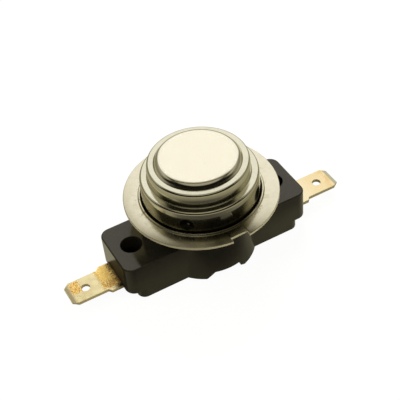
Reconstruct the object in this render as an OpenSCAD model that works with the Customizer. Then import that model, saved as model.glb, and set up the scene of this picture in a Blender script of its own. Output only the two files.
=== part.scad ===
// Bimetal thermostat: a stepped steel cup and a notched flange on a black moulded housing
// with two ears, and a blade tab at each end. A snap disc in the cup drives a pin that
// opens a pair of contacts in the housing. Millimetres, +Z up. The origin is on the cup's
// axis, in the plane that the housing stands on.

/* [Housing] */
// Length of the housing across both ears
housing_l = 44.8; // [43.6:0.1:50]
// Width of the housing
housing_w = 14.3; // [13.6:0.1:16]
// Radius of the ears' upright corners
ear_corner_r = 2.3; // [1:0.1:3.5]
// Rounding of the ears' upper edges
ear_edge_r = 0.3; // [0.1:0.05:0.6]
// Height of the ears' top faces above the bottom
ear_top = 9.6; // [9.4:0.1:13]
// Height of the ears' undersides above the bottom
ear_under = 2.4; // [2.2:0.1:3]
// How far each end of the base is set back under its ear
base_setback = 2.4; // [1.8:0.1:2.6]
// Radius of the base's upright corners
base_corner_r = 1.8; // [0.8:0.1:3]
// Radius of the round boss at the bottom
boss_r = 11.1; // [10.6:0.1:11.6]
// Draft of the boss and neck, in degrees
boss_draft = 3; // [1:0.5:4]
// Height of the shoulder under the cup, above the ears
neck_h = 5.6; // [5:0.1:9]
// Thickness of the shoulder's rim
shoulder_t = 1.1; // [0.8:0.1:1.6]
// Width of the pry notch at the front of the boss
pry_w = 6.2; // [4:0.1:8]
// Height of the pry notch
pry_h = 1.8; // [1:0.1:2.2]
// Depth of the pry notch
pry_depth = 2.2; // [1:0.1:2.6]

/* [Contact chamber] */
// Thickness of the chamber's end walls
end_wall = 0.8; // [0.5:0.05:1]
// Thickness of the chamber's side walls
side_wall = 1.6; // [1.4:0.1:1.9]
// Thickness of the roof over the chamber
roof_t = 1.5; // [1:0.1:1.6]
// Thickness of the bottom cover
cover_t = 1; // [0.7:0.05:1.1]
// Depth of the bottom cover behind the rim
cover_recess = 0.2; // [0.1:0.05:0.3]
// Width of the ledge that the cover sits on
cover_ledge = 0.7; // [0.4:0.1:0.9]

/* [Cup] */
// Radius of the cup's lower wall
cup_r = 12.8; // [12.5:0.05:13.6]
// Radius at the foot of the middle step
step_r = 11.05; // [10.9:0.05:11.3]
// Radius at the foot of the raised top
top_r = 9.4; // [8.9:0.1:9.6]
// Height of the lower wall above the flange
cup_wall_h = 5.55; // [5:0.05:9]
// Height of the middle step
step_h = 3.3; // [3:0.05:5]
// Rise of the top over the middle step
top_rise = 1.1; // [0.75:0.05:1.6]
// Slope of the raised top's side, in degrees
top_slope = 60; // [40:1:65]
// Width of the gentle crown inside the top's edge
crown_w = 1; // [0.85:0.01:1.3]
// Drop of the crown
crown_drop = 0.11; // [0.1:0.01:0.2]
// Rounding of the top's edge
top_edge_r = 1.2; // [0.6:0.1:1.2]
// Rounding of the step edges
step_edge_r = 0.5; // [0.2:0.05:0.8]
// Fillet at the foot of each step
step_foot_r = 0.2; // [0.1:0.05:0.4]
// How far the middle step's wall leans in at its top
step_lean = 0.2; // [0.05:0.05:0.4]
// How far the lower wall leans in at its top
cup_lean = 0.1; // [0.05:0.05:0.3]
// Height of the leaning part of each wall
lean_h = 2.2; // [1.6:0.1:2.6]
// Sheet thickness of the cup
cup_t = 0.5; // [0.4:0.05:0.6]
// Width of the cup's turned-out rim
rim_w = 1.4; // [1.2:0.1:2.4]
// Diameter of the staked dimples
dimple_d = 3; // [2:0.1:3.2]
// Depth of the staked dimples
dimple_depth = 0.6; // [0.3:0.05:0.7]
// Angle of the dimples from the cross axis
dimple_angle = 41.5; // [30:0.5:60]
// Height of the dimples above the flange
dimple_h = 2.3; // [2.1:0.1:2.6]

/* [Flange] */
// Width of the flange, from its hole to its edge
flange_w = 3.8; // [3.4:0.1:7]
// Sheet thickness of the flange
flange_t = 0.6; // [0.5:0.05:1]
// Gap between the cup and the flange's lip
lip_gap = 0.3; // [0.2:0.05:0.6]
// Thickness of the lip
lip_t = 0.45; // [0.3:0.05:0.6]
// Height of the lip above the flange
lip_h = 0.42; // [0.2:0.02:0.8]
// Width of the notches in the flange's edge
notch_w = 3.9; // [2:0.1:6]
// Depth of the notches
notch_depth = 1.25; // [0.6:0.05:1.8]
// Turn of the flange from square, in degrees
flange_turn = 1; // [-5:0.5:5]

/* [Terminals] */
// Width of the blade tabs
tab_w = 6.3; // [4.8:0.1:6.4]
// Thickness of the terminals
tab_t = 0.8; // [0.5:0.05:0.8]
// Reach of the tabs beyond the housing's ends
tab_reach = 11.4; // [9:0.1:14]
// Length of each blade tab
tab_l = 8.2; // [6:0.1:8.6]
// Width of the terminals under the ears
terminal_w = 7.8; // [6.8:0.1:8.4]
// Length of the tab's pointed tip
tip_l = 1.3; // [0.6:0.1:1.8]
// Cut-back of each corner of the tip
tip_cut = 0.85; // [0.4:0.05:1.2]
// Bevel of the tip's end across its thickness
tip_bevel = 0.25; // [0.05:0.05:0.25]
// Radius of the tab's eye
eye_r = 0.97; // [0.6:0.01:1.1]
// Distance of the eye from the tip
eye_back = 4.2; // [3:0.1:5]
// Depth of the terminal's groove in the ear
tab_sink = 0.6; // [0.4:0.05:0.8]
// Width of the terminals' inner ends
inner_w = 5; // [4.6:0.1:6]

/* [Rivets] */
// Distance of the rivet wells from the housing's ends
well_inset = 4.7; // [4.4:0.1:5.1]
// Radius of the wells
well_r = 2.43; // [2.2:0.01:2.6]
// Thickness of the wells' floor
well_floor_t = 1.6; // [1:0.1:2.4]
// Radius of the rivet heads
rivet_head_r = 1.9; // [1.5:0.05:2.1]
// Thickness of the rivet heads
rivet_head_t = 0.6; // [0.4:0.05:0.8]
// Radius of the rivet shanks
rivet_r = 1; // [0.7:0.05:1.1]
// Radius of the rivets' closed ends
rivet_tail_r = 1.4; // [1.2:0.05:1.5]
// Thickness of the rivets' closed ends
rivet_tail_t = 0.5; // [0.3:0.05:0.6]

/* [Switch] */
// Clearance round the bimetal disc in the cup
disc_side = 0.4; // [0.2:0.05:0.6]
// Thickness of the bimetal disc
disc_t = 0.3; // [0.2:0.05:0.4]
// Dome of the disc when cold
disc_dome = 0.6; // [0.5:0.05:0.8]
// Radius of the transfer pin
pin_r = 1.5; // [1.2:0.05:1.8]
// Radius of the pin's domed ends
pin_dome_r = 3; // [2.5:0.1:5]
// Distance of the arm's root from the right rivet
arm_root_back = 4.4; // [4.2:0.1:4.9]
// Width of the contact arm
arm_w = 4.2; // [3.6:0.1:4.6]
// Thickness of the contact arm
arm_t = 0.3; // [0.2:0.05:0.35]
// Height of the arm's offset bend
arm_rise = 2.3; // [1.8:0.1:2.4]
// Distance of the contacts from the pin
contact_x = 5.5; // [4.5:0.1:6.5]
// Radius of the contacts
contact_r = 1.6; // [1.2:0.1:1.9]
// Thickness of each contact
contact_t = 0.85; // [0.6:0.05:0.9]
// Radius of the contacts' stems
contact_stem_r = 0.8; // [0.5:0.05:0.9]
// Thickness of the contacts' closed ends
contact_tail_t = 0.35; // [0.2:0.05:0.4]

/* [Hidden] */
$fn = 64;

// Overlap that makes a cut go right through a face
cut = 1;
// Radial clearance of rivets and stems in their holes
hole_clear = 0.05;
// Clearance round the terminals in their grooves
groove_clear = 0.1;
// Clearance round the bottom cover
cover_clear = 0.1;
// Running clearance of the pin in its bore
pin_clear = 0.05;
// Clearance between neck or guide and the cup
cup_clear = 0.15;
// Free play at each end of the pin
pin_play = 0.05;
// Clearance over the disc's edge
disc_gap = 0.2;
// Segments in a rounded corner
corner_n = 4;
// Smallest radius, and shortest straight left between two roundings
least_r = 0.05;
// Room above and below the dimples in the neck's groove
stake_room = 0.3;
// Fillet at the foot of the raised top, and roundings where its crown and a wall's lean begin
top_foot_r = 0.15;
crown_round = 4;
lean_round = 6;
// Rounding of the flange's edge
flange_edge_r = 0.1;
// Share of the lip's height and thickness that its roundings take
lip_round = 0.4;
// Shift of the pry notch to the left, and the lead-in at its square end
pry_shift = 0.3;
pry_lead_h = 0.65;
pry_lead_w = 1.1;
// Wall between the wells and the tall part of the chamber
well_wall = 1.7;
// Length of the step from a terminal's wide part to its tab
tab_ease = 0.6;
// Radius at the top of the rivet heads, as a share of their own
rivet_crown = 0.8;
// Width of the guide's seat under the disc's edge
disc_rim_w = 0.9;
// Length of the arm that is welded under the right terminal
arm_seat = 2.5;
// Gap from the terminal's end to the arm's bend, and the run of the bend
arm_clear = 0.6;
arm_bend = 2;
// Edge left round the contacts on the arm and on the plate
arm_edge = 0.2;
plate_edge = 0.3;
// Gap from the left terminal's riser to the chamber's end
riser_clear = 1.7;
// Overhang of the contacts' closed ends
contact_tail_w = 0.4;

// Length over both tabs, and the wells' distance from the centre
tabs_l = housing_l + 2 * tab_reach;
well_x = housing_l / 2 - well_inset;
// Heights of the terminals
term_top = ear_under + tab_sink;
term_bot = term_top - tab_t;
// Heights of the shoulder, flange and cup
shoulder_top = ear_top + neck_h;
rim_top = shoulder_top + cup_t;
flange_top = rim_top + flange_t;
step2_z = flange_top + cup_wall_h;
step1_z = step2_z + step_h;
cup_top = step1_z + top_rise;
dimple_z = flange_top + dimple_h;
neck_top = step2_z - cup_t - cup_clear;
// Radii of the neck, inside and under the cup
neck_r = cup_r - cup_lean - cup_t - cup_clear;
waist_r = boss_r - tan(boss_draft) * (shoulder_top - shoulder_t);
shoulder_r = cup_r + rim_w / 2;
shoulder_slope = (shoulder_r - waist_r) / 2;
// Base and contact chamber
base_l = housing_l - 2 * base_setback;
cover_top = cover_recess + cover_t;
chamber_l = base_l - 2 * end_wall;
chamber_w = housing_w - 2 * side_wall;
chamber_top = ear_top - roof_t;
tall_l = 2 * (well_x - well_r - well_wall);
well_floor = term_top + well_floor_t;
// Flange's hole and edge
lip_in = cup_r + lip_gap;
flange_r = lip_in + flange_w;
// Edge of the raised top, and where its crown begins
edge_r = top_r - (top_rise - crown_drop) / tan(top_slope);
crown_r = edge_r - crown_w;
// Snap disc and pin
disc_r = step_r - step_lean - cup_t - disc_side;
disc_z = step1_z - cup_t - disc_gap - disc_t;
guide_r = step_r - step_lean - cup_t - cup_clear;
guide_floor = disc_z - disc_dome;
pin_top = disc_z + disc_dome - pin_play;
// Contact arm and the plates that carry the contacts
arm_root_x = well_x - arm_root_back;
arm_bot = term_bot - arm_t + arm_rise;
arm_top = arm_bot + arm_t;
arm_tip = contact_x + contact_r + arm_edge;
plate_bot = arm_top + 2 * contact_t;
plate_tip = contact_x - contact_r - plate_edge;
riser_x = tall_l / 2 - riser_clear - tab_t;
pin_bot = arm_top + pin_play;

// Direction of a vector, and a path whose points [x, y, radius] have rounded corners
function unit(v) = v / norm(v);
function flat(p) = [p[0], p[1]];
function corner_arc(a, b, c) =
    let (u = unit(flat(a) - flat(b)),
         v = unit(flat(c) - flat(b)),
         half = acos(u * v) / 2,
         centre = flat(b) + unit(u + v) * b[2] / sin(half),
         from = flat(b) + u * b[2] / tan(half) - centre,
         to = flat(b) + v * b[2] / tan(half) - centre)
    [for (k = [0 : corner_n]) centre + unit(from * (corner_n - k) + to * k) * b[2]];
function rounded(path) = [
    for (i = [0 : len(path) - 1])
        each path[i][2] == 0 ? [flat(path[i])] : corner_arc(path[i - 1], path[i], path[i + 1])];

// Rectangle with true round corners
module round_rect(l, w, r) {
    square([l - 2 * r, w], center = true);
    square([l, w - 2 * r], center = true);
    for (x = [-1, 1], y = [-1, 1])
        translate([x * (l / 2 - r), y * (w / 2 - r)]) circle(r);
}

// Section that stands on the x axis, with its upper corners rounded
module eased_section(w, h, r) {
    translate([-w / 2, 0]) square([w, h - r]);
    translate([r - w / 2, 0]) square([w - 2 * r, h]);
    for (side = [-1, 1])
        translate([side * (w / 2 - r), h - r]) circle(r);
}

// Block with round upright corners, and its upper edges eased
module eased_block(l, w, h, corner, edge) {
    rotate([90, 0, 90]) linear_extrude(l - 2 * corner, center = true) eased_section(w, h, edge);
    rotate([90, 0, 0]) linear_extrude(w - 2 * corner, center = true) eased_section(l, h, edge);
    for (x = [-1, 1], y = [-1, 1])
        translate([x * (l / 2 - corner), y * (w / 2 - corner), 0]) rotate_extrude()
            intersection() {
                eased_section(2 * corner, h, edge);
                square([corner, h]);
            }
}

// Box between two heights, centred in plan
module block(l, w, z0, z1) {
    translate([-l / 2, -w / 2, z0]) cube([l, w, z1 - z0]);
}

// Neck of the housing: tapered waist, flared shoulder and the spigot in the cup
module neck() {
    shoulder_bot = shoulder_top - shoulder_t;
    groove_half = dimple_d / 2 + stake_room;
    groove_r = cup_r - cup_t - dimple_depth - cup_clear;
    rotate_extrude()
        polygon([[0, 0], [boss_r, 0], [waist_r, shoulder_bot - shoulder_slope],
                 [shoulder_r, shoulder_bot], [shoulder_r, shoulder_top], [neck_r, shoulder_top],
                 [neck_r, dimple_z - groove_half], [groove_r, dimple_z - groove_half],
                 [groove_r, dimple_z + groove_half], [neck_r, dimple_z + groove_half],
                 [neck_r, neck_top], [0, neck_top]]);
}

// Pry notch at the front of the boss: one end slopes, the other is square with a lead-in
module pry_notch() {
    left = -pry_w / 2 - pry_shift;
    right = pry_w / 2 - pry_shift;
    mouth = right + pry_lead_w;
    translate([0, -boss_r + pry_depth, 0]) rotate([90, 0, 0])
        linear_extrude(pry_depth + cut)
            polygon([[left - pry_h, -cut], [left - pry_h, 0], [left, pry_h], [right, pry_h],
                     [right, pry_lead_h], [mouth, 0], [mouth, -cut]]);
}

module housing() {
    color([0.13, 0.125, 0.11]) difference() {
        union() {
            translate([0, 0, ear_under])
                eased_block(housing_l, housing_w, ear_top - ear_under, ear_corner_r, ear_edge_r);
            linear_extrude(ear_under) round_rect(base_l, housing_w, base_corner_r);
            neck();
        }
        // Contact chamber and the cover's seat
        block(chamber_l, chamber_w, -cut, term_top);
        block(tall_l, chamber_w, 0, chamber_top);
        block(chamber_l, chamber_w + 2 * cover_ledge, -cut, cover_top);
        // Wells, rivet holes and grooves for the terminals
        for (side = [-1, 1]) {
            translate([side * well_x, 0, well_floor]) cylinder(h = ear_top, r = well_r);
            translate([side * well_x, 0, ear_under])
                cylinder(h = ear_top, r = rivet_r + hole_clear);
        }
        block(housing_l + cut, terminal_w + 2 * groove_clear, term_bot - groove_clear, term_top);
        // Pin bore and pry notch
        cylinder(h = neck_top + cut, r = pin_r + pin_clear);
        pry_notch();
    }
}

module bottom_cover() {
    color([0.15, 0.14, 0.12])
        block(chamber_l - 2 * cover_clear, chamber_w + 2 * (cover_ledge - cover_clear),
              cover_recess, cover_top);
}

// Sphere that presses each dimple, and the places of the dimples round the cup
dimple_ball = (dimple_d * dimple_d / 4 + dimple_depth * dimple_depth) / (2 * dimple_depth);
module at_dimples() {
    for (turn = [0, 180], side = [-1, 1])
        rotate(turn + 90 + side * dimple_angle)
            translate([cup_r - dimple_depth + dimple_ball, 0, dimple_z]) children();
}

// Slope down from one corner of a section to the next, and a corner moved in by the sheet
function slope(a, b) = atan2(a[1] - b[1], b[0] - a[0]);
function sheet_corner(a, b, c) =
    let (from = slope(a, b),
         to = slope(b, c),
         shift = cup_t / cos((to - from) / 2),
         middle = (from + to) / 2,
         inner_r = b[2] + (to < from ? cup_t : -cup_t))
    [b[0] - shift * sin(middle), b[1] - shift * cos(middle), max(inner_r, least_r)];

module cup() {
    outside = [[0, cup_top, 0], [crown_r, cup_top, crown_round],
               [edge_r, cup_top - crown_drop, top_edge_r], [top_r, step1_z, top_foot_r],
               [step_r - step_lean, step1_z, step_edge_r], [step_r, step1_z - lean_h, lean_round],
               [step_r, step2_z, step_foot_r], [cup_r - cup_lean, step2_z, step_edge_r],
               [cup_r, step2_z - lean_h, lean_round], [cup_r, rim_top, step_foot_r]];
    bends = len(outside) - 2;
    color([0.75, 0.73, 0.66]) difference() {
        union() {
            rotate_extrude(convexity = 4) polygon(rounded(concat(
                outside,
                [[cup_r + rim_w, rim_top, 0], [cup_r + rim_w, shoulder_top, 0],
                 [cup_r - cup_t, shoulder_top, 0]],
                [for (i = [bends : -1 : 1]) sheet_corner(outside[i - 1], outside[i], outside[i + 1])],
                [[0, cup_top - cup_t, 0]])));
            intersection() {
                at_dimples() sphere(dimple_ball + cup_t);
                translate([0, 0, rim_top]) cylinder(h = cup_wall_h, r = cup_r - cup_t / 2);
            }
        }
        at_dimples() sphere(dimple_ball);
    }
}

module flange_ring() {
    lip_out = lip_in + lip_t;
    color([0.78, 0.75, 0.68]) rotate(flange_turn) difference() {
        rotate_extrude() polygon(rounded([
            [lip_in, rim_top, 0], [flange_r, rim_top, 0], [flange_r, flange_top, flange_edge_r],
            [lip_out, flange_top, lip_h * lip_round],
            [lip_out, flange_top + lip_h, min(lip_t, lip_h) * lip_round],
            [lip_in, flange_top + lip_h, 0]]));
        for (side = [-1, 1])
            translate([0, side * (flange_r - notch_depth + flange_r / 2), rim_top])
                cube([notch_w, flange_r, 2 * (flange_t + cut)], center = true);
    }
}

// Wedge cut from one face of a tab's tip, drawn from the tip
module tip_wedge() {
    polygon([[-tip_l, 0], [cut, tip_bevel * (1 + cut / tip_l)], [cut, -cut], [-tip_l, -cut]]);
}

// Blade tab and the flat part of a terminal, pointing along +X, to its inner end
module terminal_blade(inner_x) {
    tip = tabs_l / 2;
    root = tip - tab_l;
    half = tab_w / 2;
    wide = terminal_w / 2;
    inner_end = well_x - rivet_head_r;
    difference() {
        translate([0, 0, term_bot]) linear_extrude(tab_t) {
            polygon([[inner_end, -wide], [root - tab_ease, -wide], [root, -half], [tip - tip_l, -half],
                     [tip, -half + tip_cut], [tip, half - tip_cut], [tip - tip_l, half],
                     [root, half], [root - tab_ease, wide], [inner_end, wide]]);
            translate([inner_x, -inner_w / 2]) square([inner_end - inner_x + cut, inner_w]);
        }
        translate([tip - eye_back, 0, 0]) cylinder(h = ear_top, r = eye_r);
        translate([well_x, 0, 0]) cylinder(h = ear_top, r = rivet_r + hole_clear);
        translate([tip, tab_w, term_bot]) rotate([90, 0, 0]) linear_extrude(2 * tab_w) {
            tip_wedge();
            translate([0, tab_t]) mirror([0, 1]) tip_wedge();
        }
    }
}

module left_terminal() {
    // The inner end steps up to a plate over the contact arm
    color([0.80, 0.74, 0.56]) difference() {
        union() {
            mirror([1, 0, 0]) terminal_blade(riser_x);
            translate([0, inner_w / 2, 0]) rotate([90, 0, 0]) linear_extrude(inner_w) {
                translate([-riser_x - tab_t, term_bot])
                    square([tab_t, plate_bot + tab_t - term_bot]);
                translate([-riser_x - tab_t, plate_bot])
                    square([riser_x + tab_t - plate_tip, tab_t]);
            }
        }
        translate([-contact_x, 0, plate_bot - cut])
            cylinder(h = tab_t + 2 * cut, r = contact_stem_r + hole_clear);
    }
}

module right_terminal() {
    color([0.84, 0.75, 0.52]) terminal_blade(arm_root_x - arm_seat);
}

// Terminal rivet: head in the well, shank through floor and terminal, closed end below
module terminal_rivet(side) {
    tail_z = term_bot - rivet_tail_t;
    color([0.72, 0.66, 0.50]) translate([side * well_x, 0, 0]) {
        translate([0, 0, tail_z]) cylinder(h = rivet_tail_t, r = rivet_tail_r);
        translate([0, 0, tail_z]) cylinder(h = well_floor - tail_z, r = rivet_r);
        translate([0, 0, well_floor])
            cylinder(h = rivet_head_t, r1 = rivet_head_r, r2 = rivet_head_r * rivet_crown);
    }
}

module left_rivet() {
    terminal_rivet(-1);
}

module right_rivet() {
    terminal_rivet(1);
}

module bimetal_disc() {
    rings = 8;
    function dome(r) = disc_dome * (1 - r * r / (disc_r * disc_r));
    color([0.66, 0.60, 0.50]) translate([0, 0, disc_z]) rotate_extrude() polygon(concat(
        [for (i = [0 : rings]) let (r = disc_r * i / rings) [r, dome(r)]],
        [for (i = [rings : -1 : 0]) let (r = disc_r * i / rings) [r, dome(r) + disc_t]]));
}

module pin_guide() {
    color([0.45, 0.33, 0.22]) rotate_extrude() polygon([
        [pin_r + pin_clear, neck_top], [guide_r, neck_top], [guide_r, disc_z],
        [guide_r - disc_rim_w, disc_z], [guide_r - disc_rim_w - disc_dome, guide_floor],
        [pin_r + pin_clear, guide_floor]]);
}

module transfer_pin() {
    color([0.92, 0.90, 0.84]) intersection() {
        translate([0, 0, pin_bot]) cylinder(h = pin_top - pin_bot, r = pin_r);
        union() {
            translate([0, 0, pin_bot + pin_dome_r]) sphere(pin_dome_r);
            translate([0, 0, pin_bot + pin_dome_r])
                cylinder(h = pin_top - pin_bot - 2 * pin_dome_r, r = pin_dome_r);
            translate([0, 0, pin_top - pin_dome_r]) sphere(pin_dome_r);
        }
    }
}

module contact_arm() {
    root_bot = term_bot - arm_t;
    bend_x = arm_root_x - arm_seat - arm_clear;
    slope = atan2(arm_rise, arm_bend);
    shift = arm_t * tan(slope / 2);
    color([0.78, 0.52, 0.30]) difference() {
        translate([0, arm_w / 2, 0]) rotate([90, 0, 0]) linear_extrude(arm_w)
            polygon([[arm_root_x, root_bot], [bend_x, root_bot], [bend_x - arm_bend, arm_bot],
                     [-arm_tip, arm_bot], [-arm_tip, arm_top], [bend_x - arm_bend + shift, arm_top],
                     [bend_x + shift, term_bot], [arm_root_x, term_bot]]);
        translate([-contact_x, 0, 0])
            cylinder(h = ear_top, r = contact_stem_r + hole_clear);
    }
}

// Contact rivet: face, stem through its plate and closed end, pointing along +Z
module contact_rivet(plate_t) {
    color([0.86, 0.86, 0.84]) {
        cylinder(h = contact_t, r = contact_r);
        translate([0, 0, -plate_t]) cylinder(h = plate_t, r = contact_stem_r);
        translate([0, 0, -plate_t - contact_tail_t])
            cylinder(h = contact_tail_t, r = contact_stem_r + contact_tail_w);
    }
}

module moving_contact() {
    translate([-contact_x, 0, arm_top]) contact_rivet(arm_t);
}

module fixed_contact() {
    translate([-contact_x, 0, plate_bot]) mirror([0, 0, 1]) contact_rivet(tab_t);
}

housing();
bottom_cover();
cup();
flange_ring();
left_terminal();
right_terminal();
left_rivet();
right_rivet();
bimetal_disc();
pin_guide();
transfer_pin();
contact_arm();
moving_contact();
fixed_contact();
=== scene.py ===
import math

import bmesh
import bpy
from mathutils import Matrix, Vector


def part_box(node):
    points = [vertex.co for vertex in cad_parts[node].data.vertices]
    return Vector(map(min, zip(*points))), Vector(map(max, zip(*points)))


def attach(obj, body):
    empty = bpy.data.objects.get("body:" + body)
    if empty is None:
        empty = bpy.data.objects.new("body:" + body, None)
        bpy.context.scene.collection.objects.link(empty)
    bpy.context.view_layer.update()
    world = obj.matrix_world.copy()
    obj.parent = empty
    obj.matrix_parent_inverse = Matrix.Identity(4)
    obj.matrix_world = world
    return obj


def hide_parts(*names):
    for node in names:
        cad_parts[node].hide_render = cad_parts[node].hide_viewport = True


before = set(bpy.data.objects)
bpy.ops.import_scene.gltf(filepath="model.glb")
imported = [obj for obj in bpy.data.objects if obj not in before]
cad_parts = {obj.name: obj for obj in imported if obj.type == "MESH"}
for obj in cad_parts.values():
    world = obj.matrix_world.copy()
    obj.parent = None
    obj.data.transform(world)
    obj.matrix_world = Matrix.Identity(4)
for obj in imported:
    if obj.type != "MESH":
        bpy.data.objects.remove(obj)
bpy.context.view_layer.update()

# Bimetal thermostat: finish of a stepped cup, a notched flange, a black moulded housing and two blade tabs.
# Metres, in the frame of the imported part: +X to the right tab, +Z up through the cup, -Y to the viewer.
# Inside materials, places are in millimetres. Pairs of numbers are ramps, from the first to the second.
MM = 0.001

# Camera: direction from the part, distance along it, and where it aims beside the axis at the ears' top
CAMERA_AZIMUTH = math.radians(-24.658)
CAMERA_ELEVATION = math.radians(44.361)
CAMERA_ROLL = math.radians(-6.131)
CAMERA_DISTANCE = 219.905 * MM
AIM_RIGHT = -0.714 * MM
AIM_UP = 2.659 * MM
EAR_TOP = 9.6 * MM
SENSOR = 36.0
LENS = 90.24
CLIP_START = 0.01

# Floor: its glow to the eye, and its glow in reflections, far off, behind the part and right in front of it
FLOOR_SIZE = 1.6
FLOOR_COLOUR = (0.06, 0.06, 0.06)
FLOOR_GLOW = 0.95
FLOOR_MIRROR = 0.30
FLOOR_SHADE_AT = (-12.0, -22.0, 0.0)
FLOOR_SHADE = (15.0, 60.0)
FLOOR_NEAR = (-4.0, 3.0)
FLOOR_NEAR_END = (55.0, 32.0)
FLOOR_NEAR_LEVEL = 0.55
FLOOR_FRONT_LEVELS = (0.45, 0.65)
FLOOR_RIGHT = (6.0, 16.0)
FLOOR_FRONT = (-18.0, -9.0)

# Surroundings: levels of light. Heights are the sine of the elevation, fades aside are cosines of the turn.
WARM = (1.0, 0.93, 0.64)
WHITE = (1.0, 1.0, 1.0)
WINDOW_AZIMUTH = math.radians(148)
WINDOW_FADE = (0.80, 0.93)
WINDOW_TOP = (0.87, 0.75)
WINDOW_FOOT = (0.05, 0.40)
SIDE_AZIMUTH = math.radians(150)
SIDE_FADE = (-0.15, 0.25)
SIDE_LEVEL = 0.42
SIDE_FOOT = (0.45, 0.75)
SIDE_LOW = 0.5
HORIZON_FADE = (0.22, 0.05)
HORIZON_LEVEL = 0.30
CEILING_FADE = (0.86, 0.95)
CEILING_LEVEL = 0.34
DIM = 0.006

# Lamps: azimuth, elevation, size in metres and power in watts
LAMP_COLOUR = (1.0, 0.95, 0.80)
LAMP_DISTANCE = 0.5
KEY = (math.radians(150), math.radians(45), 0.25, 1.6)
FILL = (math.radians(30), math.radians(15), 0.8, 4.0)
LEFT = (math.radians(-105), math.radians(50), 0.5, 1.6)

# Cup: radii and heights of the steps, roundings and sheet, the staked dimples, and how finely it is cut
TOP_R = 9.4 * MM
STEP_R = 11.05 * MM
CUP_R = 12.8 * MM
TOP_RISE = 1.1 * MM
TOP_SLOPE = math.radians(60)
CROWN_W = 1.0 * MM
CROWN_DROP = 0.11 * MM
CROWN_ROUND = 4.0 * MM
STEP_H = 3.3 * MM
STEP_LEAN = 0.2 * MM
CUP_LEAN = 0.1 * MM
LEAN_H = 1.4 * MM
LEAN_ROUND = 4.0 * MM
RIM_W = 1.4 * MM
CUP_T = 0.5 * MM
WALL_R = STEP_R + CUP_T
TOP_EDGE_R = 1.2 * MM
TOP_FOOT_R = 0.15 * MM
STEP_EDGE_R = 0.5 * MM
STEP_FOOT_R = 0.2 * MM
INNER_R = 0.05 * MM
DIMPLE_D = 3.0 * MM
DIMPLE_DEPTH = 0.6 * MM
DIMPLE_ANGLE = math.radians(41.5)
DIMPLE_Z = 18.6 * MM
DIMPLE_TURNS = [middle + side * DIMPLE_ANGLE for middle in (math.pi / 2, -math.pi / 2) for side in (-1, 1)]
CUP_COLUMNS = 480
WALL_STEP = 0.16 * MM
ARC_STEPS = 7

# Flange: lip, edge rounding and notches
LIP_IN = 13.1 * MM
LIP_OUT = 13.55 * MM
LIP_H = 0.42 * MM
LIP_FOOT_R = 0.17 * MM
LIP_EDGE_R = 0.16 * MM
FLANGE_EDGE_R = 0.12 * MM
NOTCH_W = 3.9 * MM
NOTCH_DEPTH = 1.25 * MM
FLANGE_TURN = math.radians(1)
FLANGE_ARC = 170
NOTCH_COLUMNS = 8

# Edge roundings of the moulding and the stamped terminals, and where they leave edges sharp
MOULD_EDGE = 0.28 * MM
BLADE_EDGE = 0.09 * MM
BLADE_FROM = 20 * MM
CHAMBER_END = 22.0 * MM
CHAMBER_ROOM = 0.1 * MM
CHAMBER_ROOF = EAR_TOP - 1.2 * MM
NECK_FOOT = EAR_TOP + 0.2 * MM
EDGE_STEPS = 3
EDGE_ANGLE = math.radians(35)
FLAT_ANGLE = math.radians(0.6)
WELD = 0.002 * MM
NORMAL_WEIGHT = 80

# Looks that several materials share: a noise's mean and usual reach, and how upright cut edges and bevels face
NOISE_MEAN = 0.5
MIDDLE = (0.3, 0.7)
WIDE = (0.25, 0.75)
CUT_FACING = (0.6, 0.25)
BEVEL_FACING = (0.985, 0.95)


class Nodes:
    """Short ways to add nodes to a tree."""

    def __init__(self, tree):
        self.tree = tree

    def node(self, kind, inputs=None, **settings):
        made = self.tree.nodes.new(kind)
        for key, value in settings.items():
            setattr(made, key, value)
        for key, value in (inputs or {}).items():
            self.feed(made.inputs[key], value)
        return made

    def feed(self, socket, value):
        if isinstance(value, bpy.types.NodeSocket):
            self.tree.links.new(value, socket)
        else:
            socket.default_value = value

    def vector(self, operation, a, b=None, scale=None):
        made = self.node("ShaderNodeVectorMath", {0: a}, operation=operation)
        if b is not None:
            self.feed(made.inputs[1], b)
        if scale is not None:
            self.feed(made.inputs["Scale"], scale)
        return made.outputs["Value" if operation in ("LENGTH", "DISTANCE", "DOT_PRODUCT") else "Vector"]

    def math(self, operation, first, *others):
        """The values joined by one operation, from left to right."""
        for other in others or (0.0,):
            first = self.node("ShaderNodeMath", {0: first, 1: other}, operation=operation).outputs[0]
        return first

    def times(self, *values):
        return self.math("MULTIPLY", *values)

    def plus(self, *values):
        return self.math("ADD", *values)

    def most(self, *values):
        return self.math("MAXIMUM", *values)

    def combine(self, x, y, z):
        return self.node("ShaderNodeCombineXYZ", {0: x, 1: y, 2: z}).outputs[0]

    def ramp(self, value, low, high, to_low=0.0, to_high=1.0):
        made = self.node("ShaderNodeMapRange", {
            "Value": value, "From Min": low, "From Max": high, "To Min": to_low, "To Max": to_high},
            interpolation_type="SMOOTHSTEP")
        return made.outputs["Result"]

    def mix(self, share, a, b):
        made = self.node("ShaderNodeMix", data_type="RGBA")
        self.feed(made.inputs[0], share)
        for socket, value in ((made.inputs[6], a), (made.inputs[7], b)):
            self.feed(socket, (*value, 1.0) if isinstance(value, tuple) else value)
        return made.outputs[2]


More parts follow.
